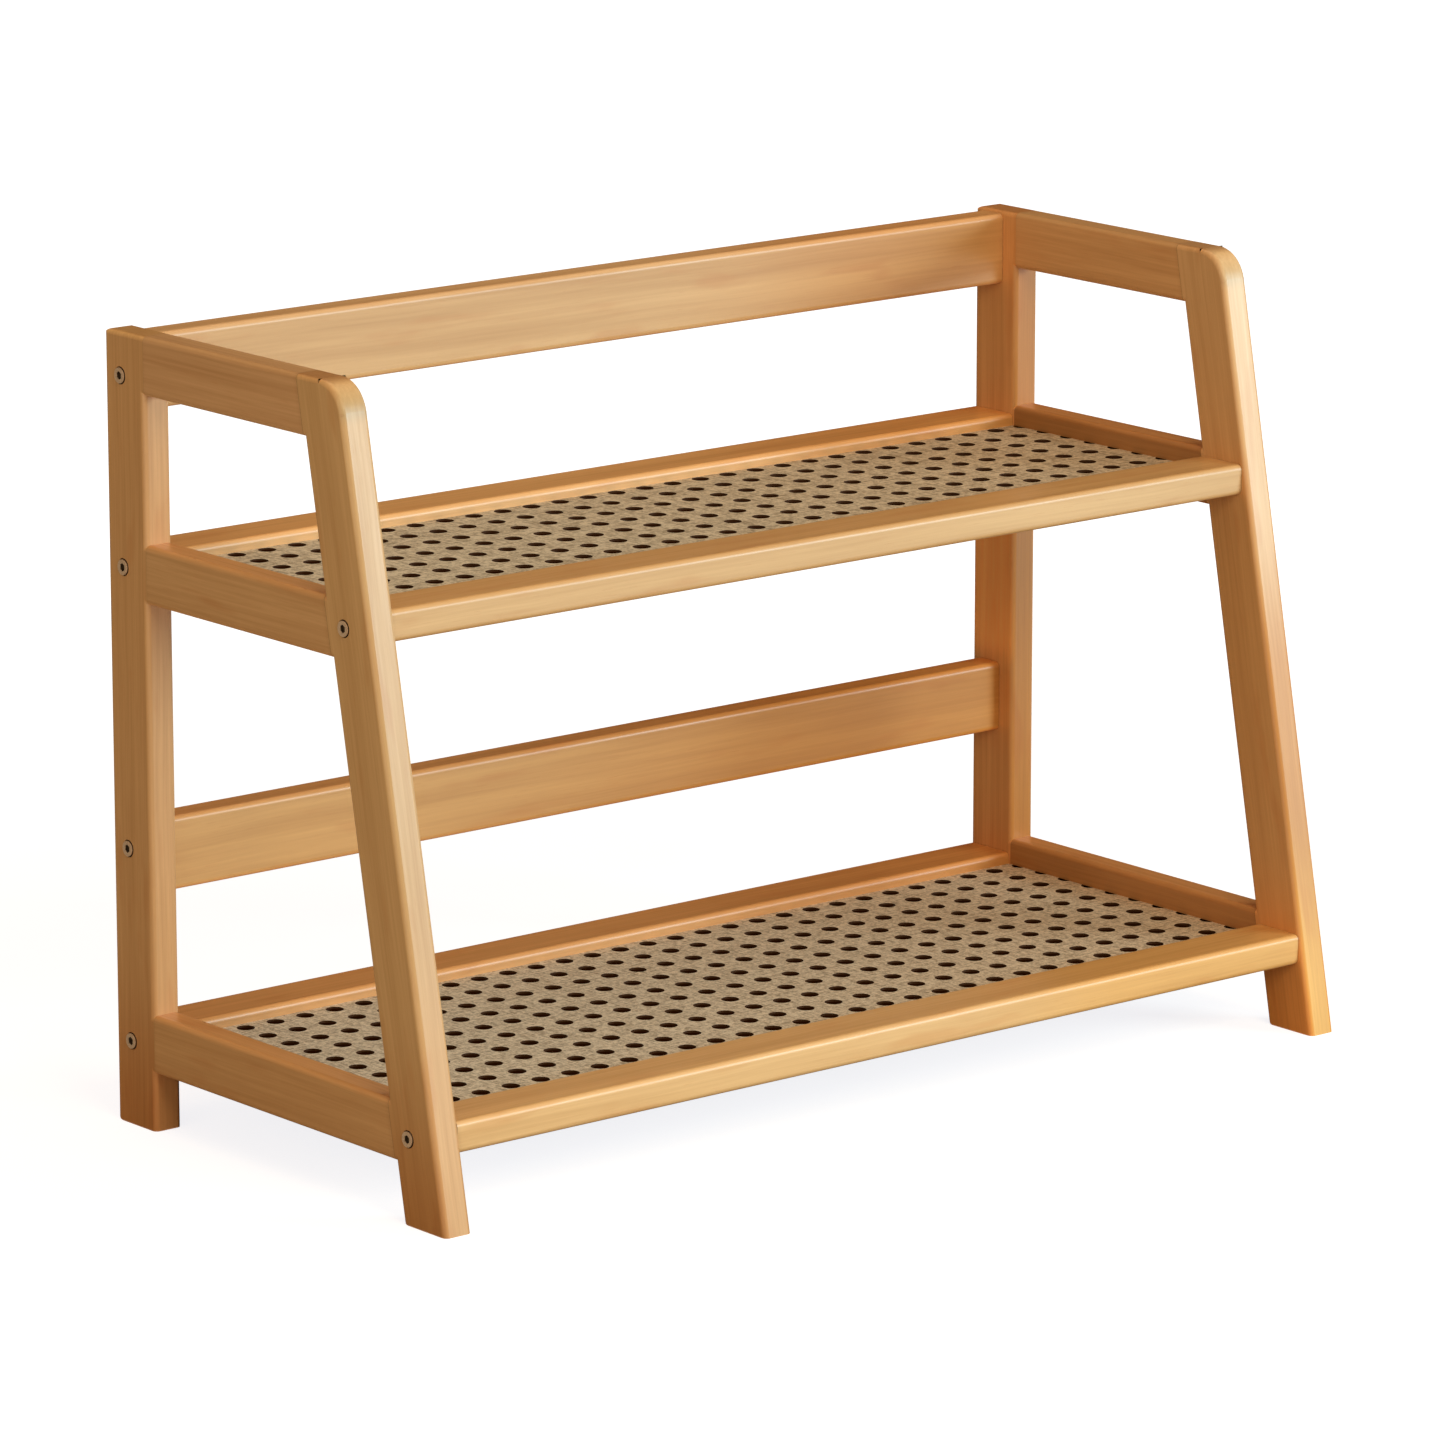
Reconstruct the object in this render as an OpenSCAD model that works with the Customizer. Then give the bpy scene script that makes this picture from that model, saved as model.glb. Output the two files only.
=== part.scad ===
// Two-shelf open rack bench: two end frames of rounded sticks, joined by shelf rails and back boards,
// with a recessed perforated panel in each shelf.
// Frame of reference: X to the right, Y to the back, Z up, origin on the floor under the middle.

/* [End frames] */
// Width over the outer faces of the end frames
overall_w = 600; // [520:10:700]
// Depth at the floor, from the front toe to the rear
overall_d = 277; // [270:1:290]
// Height
overall_h = 414; // [406:1:430]
// Thickness of every stick
stick_t = 16.5; // [15:0.5:18]
// Width of the posts and legs
stick_w = 33.5; // [32.5:0.5:34]
// Height of the side rails
side_rail_h = 30.6; // [29:0.2:31]
// Lean of the front legs, in degrees from upright
leg_lean = 11; // [10:0.5:12]
// Radius of the rounded long edges
arris_r = 3; // [1.5:0.25:3.5]
// Radius of the rear corners of the feet and of the rear top corner
toe_r = 5; // [4:0.5:6]
// Radius of the front top corner
brow_r = 19; // [16:1:19]

/* [Shelves] */
// Width of the shelf rails
rail_w = 32.5; // [31.5:0.5:32.5]
// Top of the lower side rails
lower_rail_top = 61.4; // [58:0.2:70]
// Top of the upper side rails
upper_rail_top = 306.8; // [290:0.2:310]
// How far the lower shelf rails sit below the lower side rails
lower_drop = 7.4; // [6:0.2:8]
// How far the upper shelf rails sit below the upper side rails
upper_drop = 4.4; // [4:0.2:6]
// How far the upper front shelf rail stands behind the front of the legs
upper_setback = 3.8; // [3:0.1:5]
// How far the lower front shelf rail stands behind the front of the legs
lower_setback = 2.6; // [2:0.1:4]

/* [Back boards] */
// Thickness of the back boards
board_t = 18; // [16:0.5:20]
// Height of the back boards
board_h = 38.8; // [36:0.4:40]
// Distance of the back boards from the rear of the posts
board_inset = 5; // [4:0.5:6]
// How far the top back board stays below the top
top_board_drop = 1.7; // [1:0.1:3]
// Top of the middle back board
mid_board_top = 161; // [140:1:200]

/* [Panels] */
// Depth of the panel below the top of its shelf rails
panel_drop = 6.4; // [6:0.2:7]
// Thickness of the perforated facing
facing_t = 1.2; // [1:0.1:1.5]
// Thickness of the board under the facing
board_under_t = 3; // [2.5:0.1:3.5]
// Depth of the grooves that hold the panels
groove_d = 7; // [6:0.5:7]
// Play of a panel at the ends of its grooves
panel_play = 0.4; // [0.3:0.1:0.5]
// Diameter of the holes in the facing
hole_d = 9.5; // [8:0.1:10]
// Distance between the holes across the width
hole_pitch_x = 19; // [18:0.1:22]
// Distance between the holes across the depth
hole_pitch_y = 19.2; // [18:0.1:22]
// Distance of the first row of holes from the upper back shelf rail
upper_first_row = 5.6; // [5.6:0.2:8]
// Distance of the first row of holes from the lower back shelf rail
lower_first_row = 7.5; // [5.6:0.1:8]

/* [Fasteners] */
// Diameter of the screw heads
head_d = 8; // [7.6:0.1:9]
// Height of the screw heads
head_h = 4; // [3.8:0.1:4.2]
// How far the screw heads stand out of the wood
head_proud = 0.8; // [0.4:0.1:1]
// Diameter of the counterbores round the screw heads
counterbore_d = 9.2; // [9:0.1:11]
// Width of the hexagonal socket over its flats
socket_w = 4; // [3:0.5:5]
// Depth of the hexagonal socket
socket_d = 2.2; // [1.5:0.1:2.5]
// Diameter of the screw shanks
shank_d = 5; // [4.5:0.1:5]
// Length of the screws under the head
shank_l = 45; // [40:1:50]
// Diameter of the dowels
dowel_d = 5; // [4:0.5:5]

/* [Hidden] */
$fn = 48;

outer_x = overall_w / 2;
inner_x = outer_x - stick_t;
mid_x = outer_x - stick_t / 2;
rear_y = overall_d / 2;
post_front_y = rear_y - stick_w;
back_rail_front_y = rear_y - rail_w;

// Front and rear faces of the leaning legs at height z
function leg_front(z) = z * tan(leg_lean) - overall_d / 2;
function leg_rear(z) = leg_front(z) + stick_w / cos(leg_lean);

// Tops of the three side rails of an end frame, and of the four shelf rails
side_rail_tops = [lower_rail_top, upper_rail_top, overall_h];
lower_flat_top = lower_rail_top - lower_drop;
upper_flat_top = upper_rail_top - upper_drop;
lower_panel_top = lower_flat_top - panel_drop;
upper_panel_top = upper_flat_top - panel_drop;
top_board_top = overall_h - top_board_drop;
board_y = rear_y - board_inset - board_t / 2;

// Middle of each shelf rail in Y
flat_back_y = rear_y - rail_w / 2;
upper_front_y = leg_front(upper_flat_top - stick_t / 2) + upper_setback + rail_w / 2;
lower_front_y = leg_front(lower_flat_top - stick_t / 2) + lower_setback + rail_w / 2;

// Screw places [y, z]: below the middle of each shelf rail and a little behind it, and near the middle of
// each board
screw_sink = 1.45;
screw_from_rear = 13.5;
upper_screw_behind = 0.6;
lower_screw_behind = 2;
top_screw_below = 1.6;
mid_screw_above = 4.4;
screw_back_y = rear_y - screw_from_rear;
upper_screw_z = upper_flat_top - stick_t / 2 - screw_sink;
lower_screw_z = lower_flat_top - stick_t / 2 - screw_sink;
upper_screw_y = upper_front_y + upper_screw_behind;
lower_screw_y = lower_front_y + lower_screw_behind;
top_screw_z = top_board_top - board_h / 2 - top_screw_below;
mid_screw_z = mid_board_top - board_h / 2 + mid_screw_above;
POST_SCREWS = [
    [screw_back_y, top_screw_z], [screw_back_y, upper_screw_z],
    [screw_back_y, mid_screw_z], [screw_back_y, lower_screw_z]
];
LEG_SCREWS = [[upper_screw_y, upper_screw_z], [lower_screw_y, lower_screw_z]];
seat_x = outer_x + head_proud - head_h;
shank_play = 0.4;
bore_spare = 1;
bore_end = 0.5;

// Dowel places: across the cross rails [y, z], and along the side rails [z]
dowel_into_stick = 10;
dowel_into_rail = 14;
flat_dowel_shift = 7.7;
board_dowel_shift = 12;
side_dowel_shift = 9;
side_dowel_into_stick = 12;
side_dowel_into_rail = 15;
BOARD_DOWELS = [
    for (top = [top_board_top, mid_board_top], s = [-1, 1])
        [board_y, top - board_h / 2 + s * board_dowel_shift]
];
FLAT_DOWELS = [
    [screw_back_y - flat_dowel_shift, upper_flat_top - stick_t / 2],
    [screw_back_y - flat_dowel_shift, lower_flat_top - stick_t / 2],
    [upper_screw_y - flat_dowel_shift, upper_flat_top - stick_t / 2],
    [lower_screw_y - flat_dowel_shift, lower_flat_top - stick_t / 2]
];
SIDE_DOWEL_ZS = [for (top = side_rail_tops, s = [-1, 1]) top - side_rail_h / 2 + s * side_dowel_shift];

// At a joint a stub of rail section on the upright runs this far in, under the upright's own rounding
joint_stub = 1.5 * arris_r;

// A rounding cutter is this much larger than its arc, so that it crosses the faces and doesn't graze them
graze = 0.03;
// The legs stand out by this much where the side rails butt against them
joint_step = 0.02;

// Corners tighter than this are not rounded over round the bend
bend_r = 10;

function unit(v) = v / norm(v);
function last(p) = len(p) - 1;
function prev(p, i) = (i + last(p)) % len(p);
function next(p, i) = (i + 1) % len(p);
function along(p, i) = unit(p[next(p, i)] - p[i]);
function outward(p, i) = let (d = along(p, i)) [d[1], -d[0]];
function heading(p, i) = atan2(along(p, i)[1], along(p, i)[0]);
function turn(p, i) = (heading(p, i) - heading(p, prev(p, i)) + 360) % 360;
function corner_centre(p, r, i) =
    let (a = -along(p, prev(p, i)), b = along(p, i))
    p[i] + (a + b) * r[i] / abs(a[0] * b[1] - a[1] * b[0]);

// Where the rounding of edge i starts and ends: at a wide bend, or past the end of the edge
function cut_start(p, r, i) =
    r[i] > bend_r ? corner_centre(p, r, i) + r[i] * outward(p, i) : p[i] - bore_spare * along(p, i);
function cut_end(p, r, i) =
    let (j = next(p, i))
    r[j] > bend_r ? corner_centre(p, r, j) + r[j] * outward(p, i) : p[j] + bore_spare * along(p, i);

// ---- shapes shared by the sticks ----

// Right-hand pieces are drawn in place, and left-hand ones are their mirror image
module handed(side) {
    if (side > 0) children();
    else mirror([1, 0, 0]) children();
}

// Rectangle with rounded corners, centred
module section(w, h) {
    square([w - 2 * arris_r, h], center = true);
    square([w, h - 2 * arris_r], center = true);
    for (x = [-1, 1], y = [-1, 1])
        translate([x * (w / 2 - arris_r), y * (h / 2 - arris_r)])
            circle(r = arris_r);
}

// Stands a drawing in Y and Z up, with its thickness along X
module stand() {
    rotate([90, 0, 90]) children();
}

// What rounding takes off both edges of a stick at distance r from the origin
module arris_cut(r) {
    for (s = [0, 1])
        mirror([0, s])
            difference() {
                translate([r - arris_r, stick_t / 2 - arris_r])
                    square(arris_r + bore_spare);
                translate([r - arris_r, stick_t / 2 - arris_r])
                    circle(r = arris_r + graze);
            }
}

// What rounding takes off corner i of the outline p
module corner_cut(p, r, i) {
    c = corner_centre(p, r, i);
    reach = r[i] + bore_spare;
    difference() {
        polygon([c, c + reach * outward(p, prev(p, i)), c + (p[i] - c) * reach / r[i], c + reach * outward(p, i)]);
        translate(c) circle(r = r[i] + graze / 2);
    }
}

// An upright with the outline p in Y and Z, anticlockwise from the front of its foot, and corner radii r.
// Every edge but the sole is rounded over.
module eased_stick(p, r) {
    stand()
        difference() {
            linear_extrude(height = stick_t, center = true)
                difference() {
                    polygon(p);
                    for (i = [0 : last(p)])
                        if (r[i] > 0) corner_cut(p, r, i);
                }
            for (i = [1 : last(p)])
                translate(cut_start(p, r, i))
                    rotate([90, 0, heading(p, i) + 90])
                        linear_extrude(height = norm(cut_end(p, r, i) - cut_start(p, r, i)))
                            rotate(180) arris_cut(0);
            for (i = [1 : last(p)])
                if (r[i] > bend_r)
                    translate(corner_centre(p, r, i))
                        rotate(heading(p, i) - 90 - turn(p, i))
                            rotate_extrude(angle = turn(p, i))
                                arris_cut(r[i]);
        }
}

// Length of a side rail at full section from y0 to y1, in the plane of its end frame
module side_bar(top, y0, y1) {
    translate([0, y1, top - side_rail_h / 2])
        rotate([90, 0, 0])
            linear_extrude(height = y1 - y0)
                section(stick_t, side_rail_h);
}

// The space in front of the joints on the leaning rear face of a leg
module before_leg_joints() {
    low = -stick_w;
    high = overall_h + stick_w;
    stand()
        linear_extrude(height = 2 * stick_t, center = true)
            polygon([
                [leg_front(low), low], [leg_rear(low) + joint_step, low],
                [leg_rear(high) + joint_step, high], [leg_front(low), high]
            ]);
}

// Bore along X from x0 to x1 at [y, z]
module bore_x(d, x0, x1, at) {
    translate([x0, at[0], at[1]])
        rotate([0, 90, 0])
            cylinder(d = d, h = x1 - x0);
}

// Dowels, or their bores, along Y across the two joints of a side rail, depth deeper at each end
module side_dowels(deeper = 0) {
    for (z = SIDE_DOWEL_ZS, at_leg = [true, false])
        let (joint_y = at_leg ? leg_rear(z) : post_front_y)
        let (forward = at_leg ? side_dowel_into_stick : side_dowel_into_rail)
        translate([mid_x, joint_y - forward - deeper, z])
            rotate([-90, 0, 0])
                cylinder(d = dowel_d, h = side_dowel_into_stick + side_dowel_into_rail + 2 * deeper);
}

// Dowels, or their bores, along X across the joints of the boards and shelf rails
module rail_dowels(deeper = 0) {
    for (at = concat(BOARD_DOWELS, FLAT_DOWELS))
        bore_x(dowel_d, inner_x - dowel_into_rail - deeper, inner_x + dowel_into_stick + deeper, at);
}

// Counterbores and clearance bores for the screws through an upright
module screw_ways(places) {
    for (at = places) {
        bore_x(counterbore_d, seat_x, outer_x + bore_spare, at);
        bore_x(shank_d + shank_play, inner_x - bore_spare, seat_x + bore_spare, at);
    }
}

// Pilot bores for the screws in the end of a cross rail
module screw_pilots() {
    for (at = concat(POST_SCREWS, LEG_SCREWS))
        bore_x(shank_d, seat_x - shank_l - bore_spare, inner_x + bore_spare, at);
}

// ---- end frames ----

module rear_post() {
    color("peru")
        difference() {
            translate([mid_x, 0, 0]) {
                eased_stick(
                    [[post_front_y, 0], [rear_y, 0], [rear_y, overall_h], [post_front_y, overall_h]],
                    [0, toe_r, toe_r, 0]
                );
                for (top = side_rail_tops)
                    side_bar(top, post_front_y, post_front_y + joint_stub);
            }
            screw_ways(POST_SCREWS);
            side_dowels(bore_end);
            rail_dowels(bore_end);
        }
}

module front_leg() {
    color("peru")
        difference() {
            translate([mid_x, 0, 0]) {
                eased_stick(
                    [
                        [leg_front(0), 0], [leg_rear(0), 0],
                        [leg_rear(overall_h), overall_h], [leg_front(overall_h), overall_h]
                    ],
                    [0, toe_r, 0, brow_r]
                );
                intersection() {
                    for (top = side_rail_tops)
                        side_bar(top, leg_rear(top - side_rail_h) - joint_stub, leg_rear(top) + bore_spare);
                    before_leg_joints();
                }
            }
            screw_ways(LEG_SCREWS);
            side_dowels(bore_end);
            rail_dowels(bore_end);
        }
}

// Side rail with its front end cut to the lean of the leg, grooved inside where a panel enters
module side_rail(top) {
    color("peru")
        difference() {
            translate([mid_x, 0, 0])
                difference() {
                    side_bar(top, leg_front(top), post_front_y);
                    before_leg_joints();
                }
            side_dowels(bore_end);
            children();
        }
}

// ---- shelf rails and back boards ----

// Stick along X between the end frames, w deep and h high, with its top at z and its middle at y
module cross_stick(w, h, y, z) {
    difference() {
        translate([0, y, z - h / 2])
            rotate([90, 0, 90])
                linear_extrude(height = 2 * inner_x, center = true)
                    section(w, h);
        for (side = [-1, 1])
            handed(side) {
                screw_pilots();
                rail_dowels(bore_end);
            }
    }
}

module back_board(top) {
    color("peru") cross_stick(board_t, board_h, board_y, top);
}

// Shelf rail; its children are the groove for the panel
module shelf_rail(y, top) {
    color("burlywood")
        difference() {
            cross_stick(rail_w, stick_t, y, top);
            children();
        }
}

// ---- panels ----

// Outline of a panel between a front rail whose rear face is at front_y and the back rail
module panel_outline(front_y, play) {
    long_end = 2 * (inner_x + groove_d - play);
    front = front_y + play;
    back = post_front_y - play;
    translate([-long_end / 2, front]) square([long_end, back - front]);
    translate([play - inner_x, front_y - groove_d + play])
        square([2 * (inner_x - play), back_rail_front_y - front_y + 2 * (groove_d - play)]);
}

// Groove for a panel whose top is at z
module panel_groove(front_y, z) {
    translate([0, 0, z - facing_t - board_under_t])
        linear_extrude(height = facing_t + board_under_t) {
            translate([-inner_x - groove_d, front_y]) square([2 * (inner_x + groove_d), post_front_y - front_y]);
            translate([-inner_x, front_y - groove_d])
                square([2 * inner_x, back_rail_front_y - front_y + 2 * groove_d]);
        }
}

module panel_board(front_y, z) {
    color("saddlebrown")
        translate([0, 0, z - facing_t - board_under_t])
            linear_extrude(height = board_under_t)
                panel_outline(front_y, panel_play);
}

// Facing with a square grid of round holes, the rows counted forward from the back rail
module panel_facing(front_y, z, first_row) {
    rows = floor((back_rail_front_y - first_row - front_y) / hole_pitch_y);
    half_columns = floor((inner_x + groove_d - panel_play - hole_d / 2) / hole_pitch_x);
    color("tan")
        translate([0, 0, z - facing_t])
            linear_extrude(height = facing_t)
                difference() {
                    panel_outline(front_y, panel_play);
                    for (i = [-half_columns : half_columns], j = [0 : rows])
                        translate([i * hole_pitch_x, back_rail_front_y - first_row - j * hole_pitch_y])
                            circle(d = hole_d);
                }
}

module upper_groove() {
    panel_groove(upper_front_y + rail_w / 2, upper_panel_top);
}

module lower_groove() {
    panel_groove(lower_front_y + rail_w / 2, lower_panel_top);
}

// ---- fasteners ----

module frame_dowels() {
    color("wheat") side_dowels();
}

module cross_dowels() {
    color("wheat") rail_dowels();
}

// Socket-head screw along X, its head in the counterbore
module screw(at) {
    bore_x(shank_d, seat_x - shank_l, seat_x, at);
    difference() {
        bore_x(head_d, seat_x, seat_x + head_h, at);
        translate([seat_x + head_h - socket_d, at[0], at[1]])
            rotate([0, 90, 0])
                cylinder(d = socket_w / cos(30), h = socket_d + bore_spare, $fn = 6);
    }
}

module screws() {
    color("silver")
        for (at = concat(POST_SCREWS, LEG_SCREWS))
            screw(at);
}

// ---- the nodes ----

handed(-1) rear_post();  // left_rear_post
handed(1) rear_post();  // right_rear_post
handed(-1) front_leg();  // left_front_leg
handed(1) front_leg();  // right_front_leg
handed(-1) side_rail(overall_h);  // left_top_rail
handed(1) side_rail(overall_h);  // right_top_rail
handed(-1) side_rail(upper_rail_top) upper_groove();  // left_upper_side_rail
handed(1) side_rail(upper_rail_top) upper_groove();  // right_upper_side_rail
handed(-1) side_rail(lower_rail_top) lower_groove();  // left_lower_side_rail
handed(1) side_rail(lower_rail_top) lower_groove();  // right_lower_side_rail
back_board(top_board_top);  // top_back_board
back_board(mid_board_top);  // mid_back_board
shelf_rail(flat_back_y, upper_flat_top) upper_groove();  // upper_back_rail
shelf_rail(upper_front_y, upper_flat_top) upper_groove();  // upper_front_rail
shelf_rail(flat_back_y, lower_flat_top) lower_groove();  // lower_back_rail
shelf_rail(lower_front_y, lower_flat_top) lower_groove();  // lower_front_rail
panel_board(upper_front_y + rail_w / 2, upper_panel_top);  // upper_panel_board
panel_facing(upper_front_y + rail_w / 2, upper_panel_top, upper_first_row);  // upper_panel_facing
panel_board(lower_front_y + rail_w / 2, lower_panel_top);  // lower_panel_board
panel_facing(lower_front_y + rail_w / 2, lower_panel_top, lower_first_row);  // lower_panel_facing
handed(-1) frame_dowels();  // left_frame_dowels
handed(1) frame_dowels();  // right_frame_dowels
handed(-1) cross_dowels();  // left_rail_dowels
handed(1) cross_dowels();  // right_rail_dowels
handed(-1) screws();  // left_screws
handed(1) screws();  // right_screws
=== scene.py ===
import math

import bpy
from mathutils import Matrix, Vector


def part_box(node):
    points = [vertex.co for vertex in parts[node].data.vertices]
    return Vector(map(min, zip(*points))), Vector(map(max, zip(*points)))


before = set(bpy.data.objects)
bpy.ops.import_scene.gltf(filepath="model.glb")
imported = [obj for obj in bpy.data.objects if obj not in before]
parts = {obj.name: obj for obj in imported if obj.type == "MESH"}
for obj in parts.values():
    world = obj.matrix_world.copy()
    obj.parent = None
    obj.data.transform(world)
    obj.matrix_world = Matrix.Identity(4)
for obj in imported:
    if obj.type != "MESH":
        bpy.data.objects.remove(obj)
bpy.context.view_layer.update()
print("frame:", len(parts), "pieces")

mm = 0.001
post = dict(zip(("low", "high"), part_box("right_rear_post")))
topRail = dict(zip(("low", "high"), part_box("right_top_rail")))
innerX = post["low"].x  # inner face of an end frame, where shelf rails and boards stop
postFront = topRail["high"].y  # where the side rails meet the rear post
legLean = math.radians(11)  # the front legs lean back by this much
legRear = topRail["low"].y - math.tan(legLean) * topRail["low"].z  # rear face of a leg, at the floor
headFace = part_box("right_screws")[1].x  # outer face of the screw heads


def addNode(tree, kind, label, **settings):
    # one node with its settings; a key such as in_Scale writes the value of that input
    node = tree.nodes.new(kind)
    node.label = label
    for key, value in settings.items():
        if key.startswith("in_"):
            node.inputs[key[3:].replace("_", " ")].default_value = value
        else:
            setattr(node, key, value)
    return node


def joinSockets(tree, *pairs):
    for source, target in pairs:
        tree.links.new(source, target)


def mathNode(tree, operation, label, first, second=None, third=None, clamp=False):
    # a Math node on sockets or plain numbers; puts out its result
    node = addNode(tree, "ShaderNodeMath", label, operation=operation, use_clamp=clamp)
    for slot, value in enumerate((first, second, third)):
        if value is None:
            continue
        if isinstance(value, bpy.types.NodeSocket):
            tree.links.new(value, node.inputs[slot])
        else:
            node.inputs[slot].default_value = value
    return node.outputs[0]


def rangeNode(tree, label, value, low, high, toLow=0.0, toHigh=1.0):
    # a smooth step of value from low..high to toLow..toHigh
    node = addNode(tree, "ShaderNodeMapRange", label, interpolation_type="SMOOTHSTEP")
    for name, number in (("From Min", low), ("From Max", high), ("To Min", toLow), ("To Max", toHigh)):
        node.inputs[name].default_value = number
    tree.links.new(value, node.inputs["Value"])
    return node.outputs["Result"]


def mixColours(tree, label, factor, first, second, blend="MIX"):
    node = addNode(tree, "ShaderNodeMix", label, data_type="RGBA", blend_type=blend)
    for slot, value in ((0, factor), (6, first), (7, second)):
        if isinstance(value, bpy.types.NodeSocket):
            tree.links.new(value, node.inputs[slot])
        else:
            node.inputs[slot].default_value = value
    return node.outputs[2]


def stretchedNoise(tree, label, vector, scale, detail=2.0, roughness=0.5):
    # noise whose scale along and across the grain differ: scale is (along, across, across) per metre
    mapping = addNode(tree, "ShaderNodeMapping", label + " scale", in_Scale=scale)
    noise = addNode(tree, "ShaderNodeTexNoise", label, in_Scale=1.0, in_Detail=detail)
    noise.inputs["Roughness"].default_value = roughness
    joinSockets(
        tree,
        (vector, mapping.inputs["Vector"]),
        (mapping.outputs["Vector"], noise.inputs["Vector"]),
    )
    return noise.outputs["Fac"]


def addSwing(tree, label, noise, middle, amount, tone, clamp=False):
    # adds to a tone what the noise has above or below its middle, times the amount
    swing = mathNode(tree, "SUBTRACT", label + " about 0", noise, middle)
    return mathNode(tree, "MULTIPLY_ADD", "with " + label, swing, amount, tone, clamp=clamp)


def setShades(node, colours, shade):
    # writes the node's colours, each by its input's name, multiplied by a shade of three numbers
    for name, colour in colours.items():
        node.inputs[name].default_value = tuple(c * share for c, share in zip(colour, shade)) + (1,)


def newGroup(name, inputs, outputs):
    # an empty shader group; inputs and outputs are (name, kind, default)
    group = bpy.data.node_groups.new(name, "ShaderNodeTree")
    kinds = {"number": "NodeSocketFloat", "colour": "NodeSocketColor", "vector": "NodeSocketVector"}
    for side, sockets in (("INPUT", inputs), ("OUTPUT", outputs)):
        for socketName, kind, default in sockets:
            socket = group.interface.new_socket(socketName, in_out=side, socket_type=kinds[kind])
            if default is not None:
                socket.default_value = default
    entry = group.nodes.new("NodeGroupInput")
    leave = group.nodes.new("NodeGroupOutput")
    return group, entry.outputs, leave.inputs


wood = dict(
    light=(0.690, 0.382, 0.176, 1),
    dark=(0.530, 0.264, 0.106, 1),
    red=(0.540, 0.226, 0.080, 1),
    endGrain=(0.300, 0.135, 0.050, 1),
    edge=(0.860, 0.560, 0.300, 1),
    edgeShare=0.10,  # painted highlight: the rounded edges are a little paler
    endShare=0.55,
    # repeats per metre along the grain and across it
    bandScale=(3.0, 95.0, 95.0),
    streakScale=(11.0, 620.0, 620.0),
    patchScale=(16.0, 85.0, 85.0),
    poreScale=(70.0, 1700.0, 1700.0),
    waveScale=9.0,
    waveSize=3.2 * mm,  # how far the slow wave bends the grain
    contrast=2.6,
    middleTone=0.42,
    patchShare=0.42,
    poreShare=0.30,
    gloss=0.38,
    glossSwing=0.14,  # how much the streaks change the roughness
    specular=0.5,
    relief=0.06 * mm,
    reliefStrength=0.5,
)


def makeGrainGroup():
    # straight wood grain along X: broad bands, fine streaks, reddish patches and short dark pores
    group, given, result = newGroup(
        "woodGrain",
        [
            ("Place", "vector", None),
            ("Light Wood", "colour", wood["light"]),
            ("Dark Wood", "colour", wood["dark"]),
            ("Red Wood", "colour", wood["red"]),
            ("Band Amount", "number", 0.5),
            ("Streak Amount", "number", 0.5),
        ],
        [("Color", "colour", None), ("Streaks", "number", None), ("Height", "number", None)],
    )
    wave = addNode(group, "ShaderNodeTexNoise", "slow wave", in_Scale=wood["waveScale"], in_Detail=1.0)
    bend = addNode(group, "ShaderNodeVectorMath", "wave size", operation="SCALE")
    bend.inputs["Scale"].default_value = wood["waveSize"]
    bent = addNode(group, "ShaderNodeVectorMath", "waved grain", operation="ADD")
    joinSockets(
        group,
        (given["Place"], wave.inputs["Vector"]),
        (wave.outputs["Color"], bend.inputs[0]),
        (given["Place"], bent.inputs[0]),
        (bend.outputs["Vector"], bent.inputs[1]),
    )
    place = bent.outputs["Vector"]
    bands = stretchedNoise(group, "broad bands", place, wood["bandScale"], 2.0, 0.5)
    fine = stretchedNoise(group, "fine streaks", place, wood["streakScale"], 3.0, 0.6)
    patches = stretchedNoise(group, "red patches", place, wood["patchScale"], 2.0, 0.55)
    pores = stretchedNoise(group, "pores", place, wood["poreScale"], 1.0, 0.5)
    pull = addSwing(group, "bands", bands, 0.5, given["Band Amount"], 0.0)
    pull = addSwing(group, "streaks", fine, 0.5, given["Streak Amount"], pull)
    tone = mathNode(group, "MULTIPLY_ADD", "tone", pull, wood["contrast"], wood["middleTone"], clamp=True)
    colour = mixColours(group, "light to dark", tone, given["Light Wood"], given["Dark Wood"])
    patchMask = rangeNode(group, "patch mask", patches, 0.56, 0.74, 0.0, wood["patchShare"])
    colour = mixColours(group, "with red patches", patchMask, colour, given["Red Wood"])
    poreMask = rangeNode(group, "pore mask", pores, 0.66, 0.76, 0.0, wood["poreShare"])
    colour = mixColours(group, "with pores", poreMask, colour, given["Red Wood"])
    streakHeight = mathNode(group, "MULTIPLY", "streak height", fine, 0.5)
    height = mathNode(group, "SUBTRACT", "height", streakHeight, poreMask)
    joinSockets(group, (colour, result["Color"]), (fine, result["Streaks"]), (height, result["Height"]))
    return group


def makeEdgeGroup():
    # masks from the normal in the stick's own axes: rounded edges, where it leans from every axis, and one
    # end, where it runs along X
    group, given, result = newGroup(
        "stickEdges", [("Normal", "vector", None)], [("Arris", "number", None), ("End", "number", None)]
    )
    size = addNode(group, "ShaderNodeVectorMath", "size of each part", operation="ABSOLUTE")
    split = addNode(group, "ShaderNodeSeparateXYZ", "parts of the normal")
    joinSockets(group, (given["Normal"], size.inputs[0]), (size.outputs["Vector"], split.inputs[0]))
    widest = mathNode(group, "MAXIMUM", "wider across", split.outputs["Y"], split.outputs["Z"])
    widest = mathNode(group, "MAXIMUM", "widest", widest, split.outputs["X"])
    arris = rangeNode(group, "off every axis", widest, 0.995, 0.85)
    end = rangeNode(group, "faces along the grain", split.outputs["X"], 0.75, 0.95)
    joinSockets(group, (arris, result["Arris"]), (end, result["End"]))
    return group


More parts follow.
